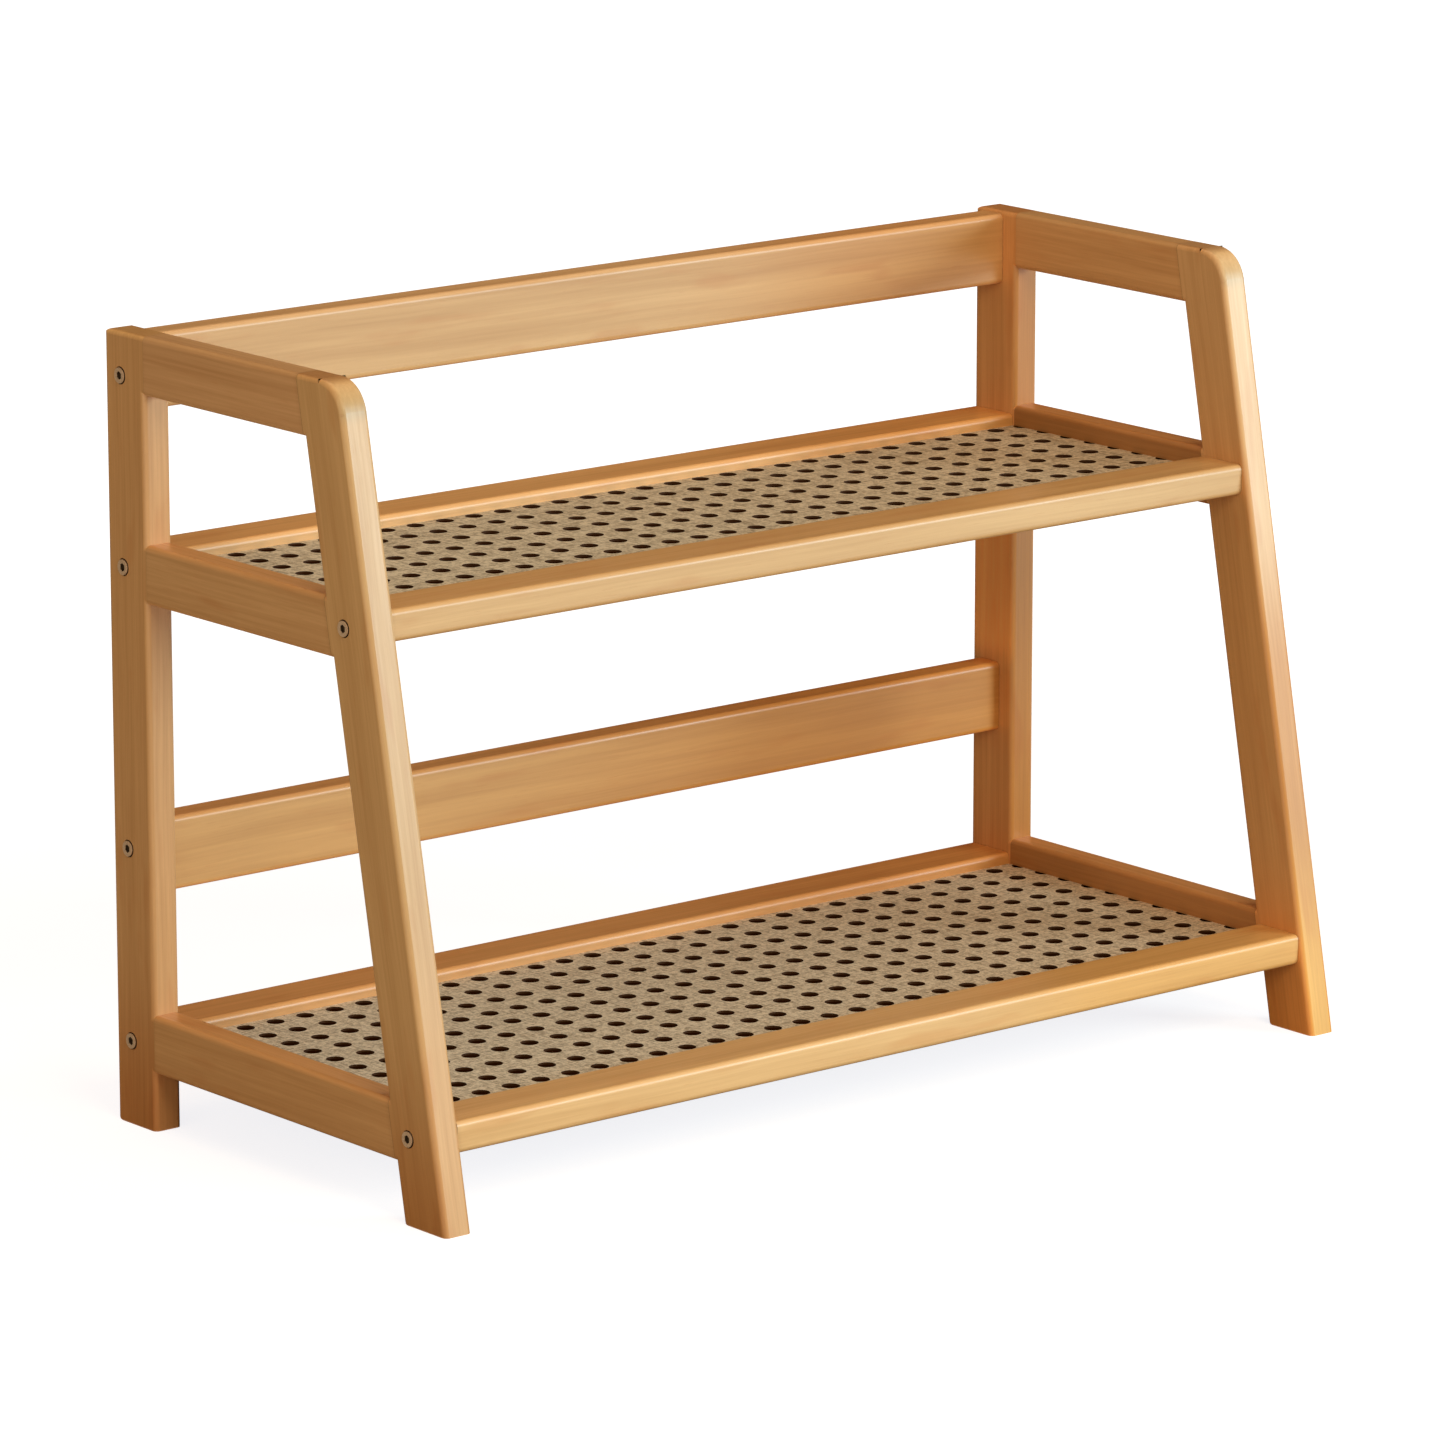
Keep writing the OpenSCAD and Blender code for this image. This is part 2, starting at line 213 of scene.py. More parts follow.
joint = dict(
    colour=(0.160, 0.062, 0.020, 1),
    lineEdge=0.45 * mm,
    lineCore=0.15 * mm,
    # the painted shade beside the line: how far it reaches and how dark it is
    shadeReach=3.5 * mm,
    shade=0.16,
    away=9.0,  # a distance no stick reaches, for a joint that isn't there
)


def makeJointGroup():
    # a thin dark line where a stick meets its neighbours, with painted shade beside it: each of the two
    # planes is a direction, a distance and the strength of its line
    inputs = [("Place", "vector", None)]
    for which in ("First", "Second"):
        inputs.append((which + " Direction", "vector", (1, 0, 0)))
        inputs.append((which + " Distance", "number", joint["away"]))
        inputs.append((which + " Strength", "number", 0.5))
    group, given, result = newGroup("jointLines", inputs, [("Line", "number", None)])
    marks = []
    for which in ("First", "Second"):
        dot = addNode(group, "ShaderNodeVectorMath", which + " along", operation="DOT_PRODUCT")
        joinSockets(group, (given["Place"], dot.inputs[0]), (given[which + " Direction"], dot.inputs[1]))
        distance = given[which + " Distance"]
        apart = mathNode(group, "SUBTRACT", which + " apart", dot.outputs["Value"], distance)
        gap = mathNode(group, "ABSOLUTE", which + " gap", apart)
        line = rangeNode(group, which + " line", gap, joint["lineEdge"], joint["lineCore"])
        shade = rangeNode(group, which + " shade", gap, joint["shadeReach"], 0.0, 0.0, joint["shade"])
        mark = mathNode(group, "MAXIMUM", which + " mark", line, shade)
        marks.append(mathNode(group, "MULTIPLY", which + " at strength", mark, given[which + " Strength"]))
    group.links.new(mathNode(group, "MAXIMUM", "stronger", *marks), result["Line"])
    return group


facing = dict(
    light=(0.760, 0.640, 0.490, 1),
    dark=(0.330, 0.255, 0.175, 1),
    lowerShade=(1.15, 1.14, 1.16),  # painted light: the lower facing is a little paler, against the shade of the upper shelf over it
    # painted shade on the walls of the holes
    cutEdge=(0.045, 0.013, 0.001, 1),
    threadPitch=1.1 * mm,
    # repeats per metre
    wanderScale=(120.0, 120.0, 1.0),
    gritScale=(900.0, 900.0, 900.0),
    slubScaleX=(60.0, 800.0, 1.0),
    slubScaleY=(800.0, 60.0, 1.0),
    mottleScale=(330.0, 330.0, 1.0),
    wander=9.0,  # how far the threads wander, in radians
    crossings=0.10,
    middleTone=0.42,
    grit=1.9,
    slubs=1.5,
    mottle=2.2,
    gloss=0.6,
    specular=0.2,
    relief=0.12 * mm,
    reliefStrength=0.6,
)


def makeWeaveGroup():
    # plain weave: crests of the threads in X and in Y, broken up by noise, with slubs and mottled tone
    group, given, result = newGroup(
        "wovenFacing",
        [
            ("Place", "vector", None),
            ("Thread Pitch", "number", facing["threadPitch"]),
            ("Light Thread", "colour", facing["light"]),
            ("Dark Thread", "colour", facing["dark"]),
        ],
        [("Color", "colour", None), ("Height", "number", None)],
    )
    place = given["Place"]
    wander = stretchedNoise(group, "wandering threads", place, facing["wanderScale"], 2.0, 0.5)
    turn = mathNode(group, "DIVIDE", "turns per metre", 2 * math.pi, given["Thread Pitch"])
    split = addNode(group, "ShaderNodeSeparateXYZ", "place")
    group.links.new(place, split.inputs[0])
    crests = []
    for axis in ("X", "Y"):
        angle = mathNode(group, "MULTIPLY", "angle " + axis, split.outputs[axis], turn)
        angle = mathNode(group, "MULTIPLY_ADD", "wandering " + axis, wander, facing["wander"], angle)
        crests.append(mathNode(group, "SINE", "crest " + axis, angle))
    crossing = mathNode(group, "MULTIPLY", "over and under", crests[0], crests[1])
    grit = stretchedNoise(group, "grit", place, facing["gritScale"], 2.0, 0.7)
    slubsX = stretchedNoise(group, "slubs along X", place, facing["slubScaleX"], 2.0, 0.6)
    slubsY = stretchedNoise(group, "slubs along Y", place, facing["slubScaleY"], 2.0, 0.6)
    mottle = stretchedNoise(group, "mottle", place, facing["mottleScale"], 2.0, 0.6)
    slubs = mathNode(group, "ADD", "both slubs", slubsX, slubsY)
    tone = mathNode(group, "MULTIPLY_ADD", "crossings", crossing, facing["crossings"], facing["middleTone"])
    tone = addSwing(group, "grit", grit, 0.5, facing["grit"], tone)
    tone = addSwing(group, "slubs", slubs, 1.0, facing["slubs"], tone)
    tone = addSwing(group, "mottle", mottle, 0.5, facing["mottle"], tone, clamp=True)
    colour = mixColours(group, "thread tone", tone, given["Light Thread"], given["Dark Thread"])
    height = mathNode(group, "MULTIPLY_ADD", "height", crossing, 0.5, grit)
    joinSockets(group, (colour, result["Color"]), (height, result["Height"]))
    return group


grainGroup = makeGrainGroup()
edgeGroup = makeEdgeGroup()
jointGroup = makeJointGroup()
weaveGroup = makeWeaveGroup()
print("shader groups built")


def newFinish(name):
    # a material with its shader and its object coordinates
    finish = bpy.data.materials.new(name)
    finish.use_nodes = True
    tree = finish.node_tree
    tree.nodes.clear()
    shader = addNode(tree, "ShaderNodeBsdfPrincipled", "finish")
    output = addNode(tree, "ShaderNodeOutputMaterial", "surface")
    coordinates = addNode(tree, "ShaderNodeTexCoord", "object place")
    tree.links.new(shader.outputs["BSDF"], output.inputs["Surface"])
    return finish, tree, shader, coordinates


def placeGroup(tree, group, label):
    node = addNode(tree, "ShaderNodeGroup", label)
    node.node_tree = group
    return node


def addBump(tree, shader, height, distance, strength):
    bump = addNode(tree, "ShaderNodeBump", "relief", in_Strength=strength, in_Distance=distance)
    joinSockets(tree, (height, bump.inputs["Height"]), (bump.outputs["Normal"], shader.inputs["Normal"]))


# painted light and shade: tints that make faces lighter, darker, warmer or cooler by place and by the way
# they face, each as (axis, start, end, faces, tint), with places in metres
paintedLight = dict(
    level=(None, 0, 0, "Z", (1.22, 1.08, 0.92, 1)),  # painted light: every stick is a little lighter and redder on its top faces
    # posts and legs
    foot=("Z", 0.11, 0.0, "X", (0.80, 0.60, 0.44, 1)),  # painted shade: the sides of the feet are darker and warmer near the floor
    postFoot=("Z", 0.050, 0.028, "Y", (1.12, 0.94, 0.82, 1)),  # painted light: redder below the lower shelf, on the post front that the shelf shades
    # painted light on the tops of the posts
    postTop=(None, 0, 0, "Z", (1.12, 1.28, 1.30, 1)),
    # painted light: the fronts of the legs turn cooler and a little darker from the foot up
    legFront=("Z", 0.02, 0.20, "Y", (0.88, 0.95, 0.97, 1)),
    brow=("Z", 0.392, 0.400, "Y", (0.82, 0.90, 0.96, 1)),  # painted shade: the bend at the top of a leg is darker
    # painted shade on the front of the right rear post
    rightPostFront=(None, 0, 0, "Y", (0.68, 0.57, 0.30, 1)),
    rightPostPale=("Z", 0.275, 0.235, "-X", (1.65, 1.52, 1.28, 1)),  # painted light: its inner face is paler from here down
    rightPostDark=("Z", 0.175, 0.155, "-X", (0.61, 0.66, 0.78, 1)),  # and the painted light ends again from here down
    # painted light and shade on the right front leg: darker sides, a warmer, darker front in the middle, a
    # paler front and warmer sides at the foot
    rightLegSides=(None, 0, 0, "X", (0.94, 0.83, 0.74, 1)),
    rightLegMiddle=("Z", 0.29, 0.19, "Y", (0.76, 0.52, 0.19, 1)),
    rightLegLow=("Z", 0.13, 0.02, "Y", (1.41, 1.72, 1.90, 1)),
    rightLegInner=("Z", 0.40, 0.25, "X", (1.0, 0.90, 0.76, 1)),
    rightLegFoot=("Z", 0.11, 0.0, "X", (1.25, 0.88, 0.53, 1)),
    # side rails
    # painted light on the tops of the top rails
    topRailTop=(None, 0, 0, "Z", (0.88, 1.0, 1.12, 1)),
    sideRailRear=("Y", 0.01, 0.06, "X", (0.86, 0.82, 0.72, 1)),  # darker towards the back
    # painted shade on the side faces of the right side rails
    upperRightSides=(None, 0, 0, "X", (0.76, 0.70, 0.62, 1)),
    lowerRightSides=(None, 0, 0, "X", (0.78, 0.70, 0.60, 1)),
    # boards, shelf rails and panels: painted shade darkens and warms them towards their right end
    topBoardEnd=("X", 0.02, 0.20, None, (0.94, 0.78, 0.60, 1)),
    # painted light on the top face of the top board
    topBoardTop=(None, 0, 0, "Z", (1.05, 1.10, 1.26, 1)),
    midBoardEnd=("X", -0.16, 0.20, None, (0.88, 0.69, 0.41, 1)),
    # painted light on the top face of the middle board
    midBoardTop=(None, 0, 0, "Z", (1.22, 1.17, 1.25, 1)),
    backRailEnd=("X", -0.05, 0.30, None, (0.88, 0.70, 0.47, 1)),
    backRailCorner=("X", -0.20, -0.285, "Y", (0.74, 0.74, 0.72, 1)),  # painted shade, darker in the left corner
    # painted shade: the tops of the front rails are darker than their paler fronts
    upperFrontTop=(None, 0, 0, "Z", (0.87, 0.85, 0.78, 1)),
    lowerFrontTop=(None, 0, 0, "Z", (0.77, 0.78, 0.78, 1)),
    lowerFrontEnd=("X", 0.04, 0.16, None, (0.98, 0.87, 0.66, 1)),
    panelEnd=("X", -0.22, 0.28, None, (0.96, 0.86, 0.76, 1)),
)
# turns the grain's X axis along each kind of stick
grainTurns = dict(
    cross=(0, 0, 0),
    side=(0, 0, -math.pi / 2),
    post=(0, math.pi / 2, 0),
    leg=(legLean, math.pi / 2, 0),
)


def addPaintedLight(tree, coordinates, colour, name):
    # multiplies the colour by a tint of painted light or shade that grows from start to end along its axis,
    # on the faces that look along the axis in faces: both ways, or only back along it where it has a minus
    axis, start, end, faces, tint = paintedLight[name]
    share = None
    if axis:
        split = addNode(tree, "ShaderNodeSeparateXYZ", "place")
        tree.links.new(coordinates.outputs["Object"], split.inputs[0])
        share = rangeNode(tree, "how far along", split.outputs[axis], start, end)
    if faces:
        split = addNode(tree, "ShaderNodeSeparateXYZ", "normal")
        tree.links.new(coordinates.outputs["Normal"], split.inputs[0])
        along = split.outputs[faces[-1]]
        if faces[0] == "-":
            looks = mathNode(tree, "MULTIPLY", "looks back along " + faces[-1], along, -1.0, clamp=True)
        else:
            looks = mathNode(tree, "ABSOLUTE", "looks along " + faces, along)
        share = mathNode(tree, "MULTIPLY", "on those faces", looks, share) if axis else looks
    return mixColours(tree, "tinted", share, colour, tint, "MULTIPLY")


def woodFinish(name, run, shift, shade, bands, streaks, joints=(), paintedLightNames=()):
    # lacquered wood for one stick: run names its grain direction, shift moves the pattern and shade
    # multiplies the three wood colours; joints are (direction, distance, strength of the line)
    finish, tree, shader, coordinates = newFinish(name)
    turned = addNode(tree, "ShaderNodeMapping", "along the stick", in_Rotation=grainTurns[run])
    turned.inputs["Location"].default_value = shift
    turnedNormal = addNode(tree, "ShaderNodeMapping", "normal along the stick", in_Rotation=grainTurns[run])
    turnedNormal.vector_type = "NORMAL"
    grain = placeGroup(tree, grainGroup, "grain")
    setShades(grain, {"Light Wood": wood["light"], "Dark Wood": wood["dark"], "Red Wood": wood["red"]}, shade)
    grain.inputs["Band Amount"].default_value = bands
    grain.inputs["Streak Amount"].default_value = streaks
    edges = placeGroup(tree, edgeGroup, "edges")
    joinSockets(
        tree,
        (coordinates.outputs["Object"], turned.inputs["Vector"]),
        (coordinates.outputs["Normal"], turnedNormal.inputs["Vector"]),
        (turned.outputs["Vector"], grain.inputs["Place"]),
        (turnedNormal.outputs["Vector"], edges.inputs["Normal"]),
    )
    # painted highlight along the rounded edges
    edgeHighlight = mathNode(tree, "MULTIPLY", "worn edge", edges.outputs["Arris"], wood["edgeShare"])
    colour = mixColours(tree, "paler edge", edgeHighlight, grain.outputs["Color"], wood["edge"])
    ends = mathNode(tree, "MULTIPLY", "end grain", edges.outputs["End"], wood["endShare"])
    colour = mixColours(tree, "darker end", ends, colour, wood["endGrain"])
    if joints:
        lineAndShade = placeGroup(tree, jointGroup, "joints")
        tree.links.new(coordinates.outputs["Object"], lineAndShade.inputs["Place"])
        for which, (direction, distance, strength) in zip(("First", "Second"), joints):
            lineAndShade.inputs[which + " Direction"].default_value = direction
            lineAndShade.inputs[which + " Distance"].default_value = distance
            lineAndShade.inputs[which + " Strength"].default_value = strength
        colour = mixColours(tree, "lined joint", lineAndShade.outputs["Line"], colour, joint["colour"])
    for tint in ("level",) + paintedLightNames:
        colour = addPaintedLight(tree, coordinates, colour, tint)
    tree.links.new(colour, shader.inputs["Base Color"])
    roughness = addSwing(tree, "sheen", grain.outputs["Streaks"], 0.5, wood["glossSwing"], wood["gloss"])
    tree.links.new(roughness, shader.inputs["Roughness"])
    shader.inputs["Specular IOR Level"].default_value = wood["specular"]
    addBump(tree, shader, grain.outputs["Height"], wood["relief"], wood["reliefStrength"])
    return finish


def facingFinish(name, shade):
    # woven facing: thread pattern on the flat faces, painted shade on the upright faces, the walls of the
    # holes
    finish, tree, shader, coordinates = newFinish(name)
    weave = placeGroup(tree, weaveGroup, "weave")
    setShades(weave, {"Light Thread": facing["light"], "Dark Thread": facing["dark"]}, shade)
    split = addNode(tree, "ShaderNodeSeparateXYZ", "normal")
    joinSockets(
        tree,
        (coordinates.outputs["Object"], weave.inputs["Place"]),
        (coordinates.outputs["Normal"], split.inputs[0]),
    )
    upright = mathNode(tree, "ABSOLUTE", "flatness", split.outputs["Z"])
    holeShade = rangeNode(tree, "cut edge", upright, 0.7, 0.3)
    colour = addPaintedLight(tree, coordinates, weave.outputs["Color"], "panelEnd")
    colour = mixColours(tree, "dark cut edge", holeShade, colour, facing["cutEdge"])
    tree.links.new(colour, shader.inputs["Base Color"])
    shader.inputs["Roughness"].default_value = facing["gloss"]
    shader.inputs["Specular IOR Level"].default_value = facing["specular"]
    addBump(tree, shader, weave.outputs["Height"], facing["relief"], facing["reliefStrength"])
    return finish


board = dict(
    top=(0.026, 0.0062, 0.0003, 1),
    under=(0.230, 0.120, 0.052, 1),
    gloss=0.6,
    relief=0.08 * mm,
    reliefStrength=0.5,
)


def boardFinish():
    # the board under the facing: dark on top where the holes show it, partly a dark stain and partly painted
    # shade in the holes, brown below
    finish, tree, shader, coordinates = newFinish("panelBoard")
    grain = placeGroup(tree, grainGroup, "grain")
    split = addNode(tree, "ShaderNodeSeparateXYZ", "normal")
    joinSockets(
        tree,
        (coordinates.outputs["Object"], grain.inputs["Place"]),
        (coordinates.outputs["Normal"], split.inputs[0]),
    )
    for name, share in (("Light Wood", 1.0), ("Dark Wood", 0.6), ("Red Wood", 0.5)):
        setShades(grain, {name: board["under"]}, (share, share, share))
    faceUp = rangeNode(tree, "faces up", split.outputs["Z"], 0.2, 0.6)
    colour = mixColours(tree, "dark top", faceUp, grain.outputs["Color"], board["top"])
    tree.links.new(colour, shader.inputs["Base Color"])
    shader.inputs["Roughness"].default_value = board["gloss"]
    shader.inputs["Specular IOR Level"].default_value = 0.0
    addBump(tree, shader, grain.outputs["Height"], board["relief"], board["reliefStrength"])
    return finish


steel = dict(
    bright=(0.900, 0.640, 0.460, 1),
    dull=(0.600, 0.400, 0.270, 1),
    # painted shade in the socket and on the sides of the head below its face
    socket=(0.090, 0.055, 0.032, 1),
    socketStart=0.2 * mm,  # below the face of the head
    socketDark=0.6 * mm,
    markScale=(200.0, 2600.0, 2600.0),
    gloss=0.40,
    glossSwing=0.2,
    metal=0.30,
    relief=0.03 * mm,
    reliefStrength=0.4,
)


def screwFinish():
    # screw heads: plated steel with fine turned marks, and painted shade in the socket and on the sides of
    # the head below its face
    finish, tree, shader, coordinates = newFinish("screwSteel")
    marks = stretchedNoise(
        tree, "turned marks", coordinates.outputs["Object"], steel["markScale"], 2.0, 0.6
    )
    markMask = rangeNode(tree, "mark mask", marks, 0.35, 0.7)
    colour = mixColours(tree, "plating", markMask, steel["bright"], steel["dull"])
    split = addNode(tree, "ShaderNodeSeparateXYZ", "place")
    tree.links.new(coordinates.outputs["Object"], split.inputs[0])
    outwards = mathNode(tree, "ABSOLUTE", "distance from the middle", split.outputs["X"])
    start, dark = headFace - steel["socketStart"], headFace - steel["socketDark"]
    socketShade = rangeNode(tree, "behind the face of the head", outwards, start, dark)
    colour = mixColours(tree, "dark in the socket", socketShade, colour, steel["socket"])
    roughness = addSwing(tree, "sheen", marks, 0.5, steel["glossSwing"], steel["gloss"])
    joinSockets(tree, (colour, shader.inputs["Base Color"]), (roughness, shader.inputs["Roughness"]))
    shader.inputs["Metallic"].default_value = steel["metal"]
    addBump(tree, shader, marks, steel["relief"], steel["reliefStrength"])
    return finish


def dress(name, finish):
    piece = parts[name]
    piece.data.materials.clear()
    piece.data.materials.append(finish)


leanDirection = (0, math.cos(legLean), -math.sin(legLean))
crossJoints = (((1, 0, 0), innerX, 0.6), ((1, 0, 0), -innerX, 0.6))
sideJoints = (((0, 1, 0), postFront, 0.25), (leanDirection, legRear * math.cos(legLean), 0.6))
# stick kinds: grain run, shade, bands, streaks, joints, painted light; the shade is partly the wood's own
# tone and partly painted light, lifting or lowering a kind of stick against how much light reaches it, as on
# the paler lower front rail under the upper shelf
stickKinds = dict(
    rear_post=("post", (1.03, 1.02, 1.0), 0.5, 0.55, (), ("foot", "postFoot", "postTop")),
    front_leg=("leg", (1.03, 1.09, 1.09), 0.45, 0.5, (), ("foot", "legFront", "brow")),
    top_rail=("side", (1.03, 1.02, 1.08), 0.45, 0.6, sideJoints, ("topRailTop",)),
    upper_side_rail=("side", (1.0, 1.0, 1.0), 0.45, 0.6, sideJoints, ()),
    lower_side_rail=("side", (0.98, 0.94, 0.89), 0.45, 0.6, sideJoints, ()),
    top_back_board=("cross", (0.97, 1.06, 1.08), 0.8, 0.35, crossJoints, ("topBoardEnd", "topBoardTop")),
    mid_back_board=("cross", (1.03, 1.01, 0.84), 0.8, 0.35, crossJoints, ("midBoardEnd", "midBoardTop")),
    upper_back_rail=("cross", (1.15, 1.22, 1.2), 0.6, 0.5, crossJoints, ("backRailEnd", "backRailCorner")),
    upper_front_rail=("cross", (0.98, 1.10, 1.16), 0.6, 0.45, crossJoints, ("upperFrontTop",)),
    lower_back_rail=("cross", (1.02, 0.95, 0.84), 0.6, 0.5, crossJoints, ("backRailEnd", "backRailCorner")),
    lower_front_rail=("cross", (1.26, 1.43, 1.5), 0.6, 0.45, crossJoints, ("lowerFrontEnd", "lowerFrontTop")),
)
# sticks of the right end frame, with their own shade and tints, which paint light and shade onto that frame
rightFramePaintedLight = dict(
    right_rear_post=((1.12, 0.95, 0.76), ("rightPostFront", "rightPostPale", "rightPostDark", "foot")),
    right_front_leg=(
        (1.09, 1.26, 1.42),
        ("rightLegSides", "rightLegMiddle", "rightLegLow", "brow", "rightLegInner", "rightLegFoot"),
    ),
    right_top_rail=((1.01, 0.95, 0.88), ("topRailTop",)),
    right_upper_side_rail=((0.88, 0.74, 0.58), ("upperRightSides", "sideRailRear")),
    right_lower_side_rail=((0.97, 0.82, 0.66), ("lowerRightSides", "sideRailRear")),
)
patternStep = (0.37, 0.113, 0.071)  # moves the grain from stick to stick
dowelFinish = woodFinish("dowelWood", "cross", (0, 0, 0), (0.9, 0.9, 0.9), 0.4, 0.5)
steelFinish = screwFinish()
for number, name in enumerate(sorted(parts), 1):
    kind = name.replace("left_", "").replace("right_", "")
    if kind in stickKinds:
        run, shade, bands, streaks, joints, paintedLightNames = stickKinds[kind]
        shade, paintedLightNames = rightFramePaintedLight.get(name, (shade, paintedLightNames))
        shift = [step * number for step in patternStep]
        finish = woodFinish("wood_" + name, run, shift, shade, bands, streaks, joints, paintedLightNames)
        dress(name, finish)
    elif kind.endswith("dowels"):
        dress(name, dowelFinish)
    elif kind == "screws":
        dress(name, steelFinish)
boardSkin = boardFinish()
for shelf, shade in (("upper", (1, 1, 1)), ("lower", facing["lowerShade"])):
    dress(shelf + "_panel_facing", facingFinish(shelf + "PanelFacing", shade))
    dress(shelf + "_panel_board", boardSkin)
print("finishes on", len(parts), "pieces")


def flatSheet(name, corners):
    # one flat face through its corners, in order round its edge
    mesh = bpy.data.meshes.new(name)
    mesh.from_pydata([tuple(c) for c in corners], [], [tuple(range(len(corners)))])
    sheet = bpy.data.objects.new(name, mesh)
    bpy.context.scene.collection.objects.link(sheet)
    return sheet


studio = dict(
    floorReach=9.0,
    floorColour=(0.46, 0.44, 0.41, 1),
    floorGlow=0.83,  # what the floor adds for the camera, so that it looks white and keeps the shadow
    glowColour=(1.0, 1.0, 1.035, 1),  # balances the warm lamps on the floor
    farGlow=1.03,  # the same far from the object, where there is no shadow to keep
    nearRing=0.5,  # the glow grows from this distance to farRing
    farRing=1.4,
    worldLight=0.26,  # what the white room gives the object as light
    worldTint=(1.0, 0.88, 0.66, 1),
    target=Vector((0, 0, 0.2)),
)
lampPlan = dict(
    # place, size across and up, watts, colour
    keySoftbox=((1.89, -2.40, 0.86), (1.25, 0.85), 64.0, (0.72, 0.93, 1.0)),
    frontTop=((-0.4, -2.6, 1.9), (1.8, 1.1), 38.0, (1.0, 0.92, 0.68)),
    leftFill=((-2.2, -0.8, 0.72), (2.0, 1.4), 12.4, (1.0, 0.84, 0.56)),
    overhead=((0.0, -0.1, 3.0), (2.2, 2.2), 10.0, (1.0, 0.60, 0.24)),
)


def whiteForCamera(tree):
    # 1 for rays from the camera, and for mirror and clear rays, so that shiny pieces show the same room
    path = addNode(tree, "ShaderNodeLightPath", "what the ray is")
    rays = path.outputs
    shown = mathNode(tree, "MAXIMUM", "camera or mirror", rays["Is Camera Ray"], rays["Is Glossy Ray"])
    return mathNode(tree, "MAXIMUM", "or clear", shown, rays["Is Transmission Ray"])


def makeFloor():
    reach = studio["floorReach"]
    corners = [(-reach, -reach, 0), (reach, -reach, 0), (reach, reach, 0), (-reach, reach, 0)]
    floor = flatSheet("floor", corners)
    finish = bpy.data.materials.new("paleFloor")
    finish.use_nodes = True
    tree = finish.node_tree
    tree.nodes.clear()
    diffuse = addNode(tree, "ShaderNodeBsdfDiffuse", "pale paper", in_Color=studio["floorColour"])
    glow = addNode(tree, "ShaderNodeEmission", "white for the camera", in_Color=studio["glowColour"])
    both = addNode(tree, "ShaderNodeAddShader", "paper and white")
    output = addNode(tree, "ShaderNodeOutputMaterial", "surface")
    coordinates = addNode(tree, "ShaderNodeTexCoord", "floor place")
    away = addNode(tree, "ShaderNodeVectorMath", "distance from the object", operation="LENGTH")
    tree.links.new(coordinates.outputs["Object"], away.inputs[0])
    near, far = studio["nearRing"], studio["farRing"]
    nearGlow, farGlow = studio["floorGlow"], studio["farGlow"]
    level = rangeNode(tree, "glow level", away.outputs["Value"], near, far, nearGlow, farGlow)
    strength = mathNode(tree, "MULTIPLY", "glow", whiteForCamera(tree), level)
    joinSockets(
        tree,
        (strength, glow.inputs["Strength"]),
        (diffuse.outputs[0], both.inputs[0]),
        (glow.outputs[0], both.inputs[1]),
        (both.outputs[0], output.inputs["Surface"]),
    )
    floor.data.materials.append(finish)


def makeRoom():
    world = bpy.data.worlds.new("whiteRoom")
    bpy.context.scene.world = world
    world.use_nodes = True
    tree = world.node_tree
    tree.nodes.clear()
    white = addNode(tree, "ShaderNodeBackground", "white room", in_Color=(1, 1, 1, 1), in_Strength=1.0)
    dim = addNode(tree, "ShaderNodeBackground", "dim warm room")
    dim.inputs["Color"].default_value = studio["worldTint"]
    dim.inputs["Strength"].default_value = studio["worldLight"]
    either = addNode(tree, "ShaderNodeMixShader", "white or dim")
    output = addNode(tree, "ShaderNodeOutputWorld", "world")
    joinSockets(
        tree,
        (whiteForCamera(tree), either.inputs["Fac"]),
        (dim.outputs[0], either.inputs[1]),
        (white.outputs[0], either.inputs[2]),
        (either.outputs[0], output.inputs["Surface"]),
    )


def makeLamps():
    for name, (place, size, watts, colour) in lampPlan.items():
        data = bpy.data.lights.new(name, "AREA")
        data.shape = "RECTANGLE"
        data.size, data.size_y = size
        data.energy = watts
        data.color = colour
        lamp = bpy.data.objects.new(name, data)
        lamp.location = place
        lamp.rotation_euler = (studio["target"] - Vector(place)).to_track_quat("-Z", "Y").to_euler()
        lamp.visible_camera = False
        bpy.context.scene.collection.objects.link(lamp)


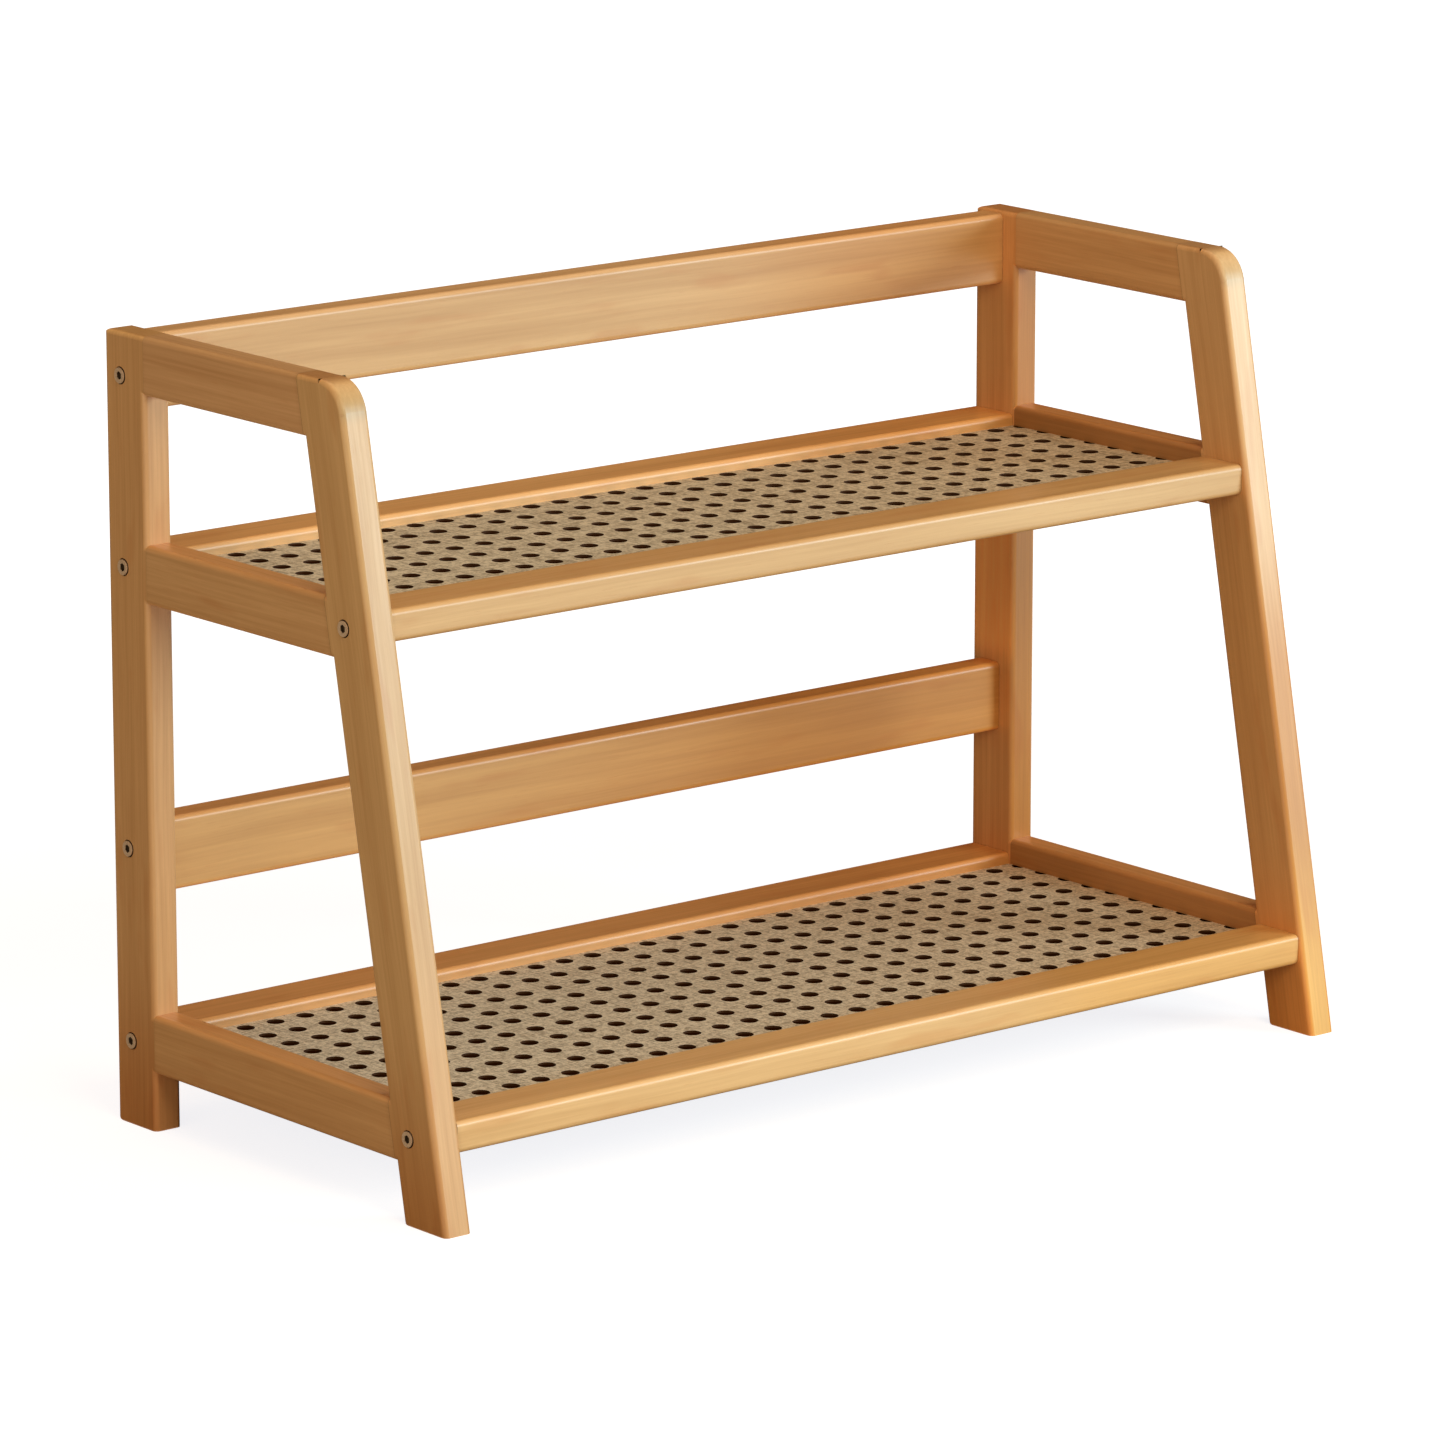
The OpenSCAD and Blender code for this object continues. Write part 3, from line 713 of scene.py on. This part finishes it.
cards = dict(
    colour=(0.01, 0.01, 0.01, 1),
    # the back card stands straight behind the object for the camera
    direction=Vector((0.62, 0.78, 0)),
    distance=1.8,
    halfWidth=1.9,
    height=3.2,
    leftEnd=Vector((-2.6, 0.3, 0)),  # the left card runs from the back card to here
    floorFront=-0.25,
    floorRight=innerX + 0.3,
    floorReach=3.0,
    lift=0.5 * mm,  # the floor card lies just above the floor
)


def makeCards():
    # black cards that only mirror rays see: those behind and to the left keep the bright room off the flat
    # tops, and the one on the floor keeps the bright floor off the side faces
    finish = bpy.data.materials.new("blackCard")
    finish.use_nodes = True
    shader = finish.node_tree.nodes["Principled BSDF"]
    shader.inputs["Base Color"].default_value = cards["colour"]
    shader.inputs["Specular IOR Level"].default_value = 0.0
    toBack = cards["direction"]
    away = toBack * cards["distance"]
    across = Vector((toBack.y, -toBack.x, 0)) * cards["halfWidth"]
    up = Vector((0, 0, cards["height"]))
    leftEnd = cards["leftEnd"]
    lift = cards["lift"]
    front, right, reach = cards["floorFront"], cards["floorRight"], cards["floorReach"]
    outlines = dict(
        backCard=[away - across, away + across, away + across + up, away - across + up],
        leftCard=[away - across, away - across + up, leftEnd + up, leftEnd],
        floorCard=[(-reach, front, lift), (right, front, lift), (right, reach, lift), (-reach, reach, lift)],
    )
    for name, outline in outlines.items():
        card = flatSheet(name, outline)
        card.data.materials.append(finish)
        card.visible_camera = False
        card.visible_diffuse = False
        card.visible_shadow = False


makeFloor()
makeRoom()
makeLamps()
makeCards()

view = dict(
    place=Vector((-2.558223, -3.093298, 1.133561)),
    azimuth=math.radians(-39.476),
    elevation=math.radians(13.230),
    lens=197.49,
    sensor=36.0,
    farthest=60,  # metres that the camera sees
)


def makeCamera():
    data = bpy.data.cameras.new("camera")
    data.lens = view["lens"]
    data.sensor_width = view["sensor"]
    data.clip_end = view["farthest"]
    camera = bpy.data.objects.new("camera", data)
    camera.location = view["place"]
    camera.rotation_euler = (math.pi / 2 - view["elevation"], 0, view["azimuth"])
    bpy.context.scene.collection.objects.link(camera)
    bpy.context.scene.camera = camera


makeCamera()
bpy.context.scene.view_settings.view_transform = "Standard"
print("studio and camera set")
